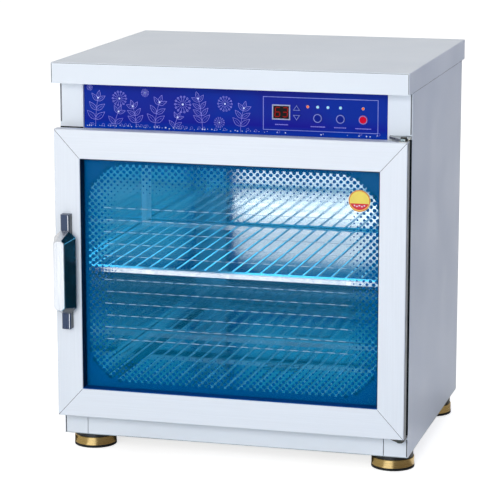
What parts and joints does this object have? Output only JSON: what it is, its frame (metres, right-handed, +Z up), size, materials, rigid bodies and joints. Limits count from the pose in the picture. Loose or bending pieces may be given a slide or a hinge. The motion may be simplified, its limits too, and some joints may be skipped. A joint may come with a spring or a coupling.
{
  "type": "dish sterilizer cabinet",
  "caption": "Free-standing dish sterilizer cabinet with a glazed hinged door, wire shelves, an ultraviolet lamp and a control panel under an overhanging lid.",
  "frame": {"origin": "on the floor under the centre of the bounding box, at the bottom of the feet", "axes": "+Z up, -Y out of the door, +X towards the hinged side (right, seen from the front)"},
  "size_m": [0.5, 0.464, 0.56],
  "materials": {
    "case_paint": "satin silver-white paint on folded sheet",
    "door_frame": "satin anodised extrusion",
    "fascia_blue": "printed royal blue, glossy",
    "bezel_plastic": "pale gloss",
    "display": "black window with dull red digits",
    "light_caps": "translucent lens",
    "key_caps": "satin blue, with a printed ring or arrow",
    "red_cap": "gloss red",
    "board": "circuit board",
    "tank_steel": "bright polished sheet",
    "panel_steel": "plain galvanised sheet",
    "shelf_wire": "bright plated wire",
    "lamp_glass": "clear quartz tube",
    "lamp_cap": "plain pressed cap",
    "socket_plastic": "white moulded",
    "mirror_sheet": "bright reflector",
    "gear_metal": "plain",
    "black_plastic": "black moulded",
    "door_glass": "toughened pane, printed on its back",
    "soft_rubber": "black",
    "chrome_grip": "bright plated",
    "slate_base": "dark gloss",
    "plated_steel": "zinc plated",
    "brass_band": "polished"
  },
  "bodies": {
    "cabinet": {"left_side_panel": "case_paint", "right_side_panel": "case_paint", "lid": "case_paint", "bottom_pan": "panel_steel", "back_panel": "panel_steel", "front_bottom_rail": "case_paint", "front_header": "case_paint", "control_fascia": "fascia_blue", "display_bezel": "bezel_plastic", "display_module": "display", "indicator_lights": "light_caps", "control_board": "board", "inner_left_wall": "tank_steel", "inner_right_wall": "tank_steel", "inner_back_wall": "tank_steel", "inner_floor": "tank_steel", "inner_ceiling": "tank_steel", "lower_shelf_rail_left": "tank_steel", "lower_shelf_rail_right": "tank_steel", "upper_shelf_rail_left": "tank_steel", "upper_shelf_rail_right": "tank_steel", "uv_lamp_tube": "lamp_glass", "uv_lamp_caps": "lamp_cap", "lamp_sockets": "socket_plastic", "lamp_reflector": "mirror_sheet", "lamp_ballast": "gear_metal", "lamp_starter": "socket_plastic", "fan_frame": "black_plastic", "heater_tubes": "gear_metal", "heater_clips": "plated_steel", "top_hinge_bracket": "plated_steel", "bottom_hinge_bracket": "plated_steel", "hinge_pins": "plated_steel", "cord_gland": "soft_rubber", "case_screws": "plated_steel", "foot_rings": "brass_band", "foot_cores": "black_plastic", "foot_pads": "soft_rubber", "foot_bolts": "plated_steel"},
    "door": {"door_stile_left": "door_frame", "door_stile_right": "door_frame", "door_rail_top": "door_frame", "door_rail_bottom": "door_frame", "door_glass": "door_glass", "glazing_bead": "soft_rubber", "door_liner": "black_plastic", "door_gasket": "soft_rubber", "corner_keys": "plated_steel", "handle_base": "slate_base", "handle_grip": "chrome_grip", "handle_screws": "plated_steel", "hinge_bushes": "socket_plastic"},
    "upper_shelf": {"upper_shelf": "shelf_wire"},
    "lower_shelf": {"lower_shelf": "shelf_wire"},
    "up_key": {"up_key": "key_caps"},
    "down_key": {"down_key": "key_caps"},
    "timer_button": {"timer_button": "key_caps"},
    "mode_button": {"mode_button": "key_caps"},
    "power_button": {"power_button": "red_cap"},
    "fan_rotor": {"fan_rotor": "black_plastic"}
  },
  "joints": [
    {"name": "door_hinge", "type": "hinge", "parent": "cabinet", "child": "door", "pos_m": [0.24085, -0.183, 0.2635], "axis": [0, 0, 1], "range_deg": [0, 110]},
    {"name": "upper_shelf_play", "type": "slide", "parent": "cabinet", "child": "upper_shelf", "axis": [0, -1, 0], "range_m": [0, 0.0035]},
    {"name": "lower_shelf_play", "type": "slide", "parent": "cabinet", "child": "lower_shelf", "axis": [0, -1, 0], "range_m": [0, 0.0035]},
    {"name": "up_key_press", "type": "slide", "parent": "cabinet", "child": "up_key", "axis": [0, 1, 0], "range_m": [0, 0.0008], "stiffness_N_per_m": 400},
    {"name": "down_key_press", "type": "slide", "parent": "cabinet", "child": "down_key", "axis": [0, 1, 0], "range_m": [0, 0.0008], "stiffness_N_per_m": 400},
    {"name": "timer_button_press", "type": "slide", "parent": "cabinet", "child": "timer_button", "axis": [0, 1, 0], "range_m": [0, 0.0008], "stiffness_N_per_m": 400},
    {"name": "mode_button_press", "type": "slide", "parent": "cabinet", "child": "mode_button", "axis": [0, 1, 0], "range_m": [0, 0.0008], "stiffness_N_per_m": 400},
    {"name": "power_button_press", "type": "slide", "parent": "cabinet", "child": "power_button", "axis": [0, 1, 0], "range_m": [0, 0.0008], "stiffness_N_per_m": 400},
    {"name": "fan_spin", "type": "hinge", "parent": "cabinet", "child": "fan_rotor", "pos_m": [0, 0.1232, 0.039], "axis": [0, 0, 1], "continuous": true}
  ]
}
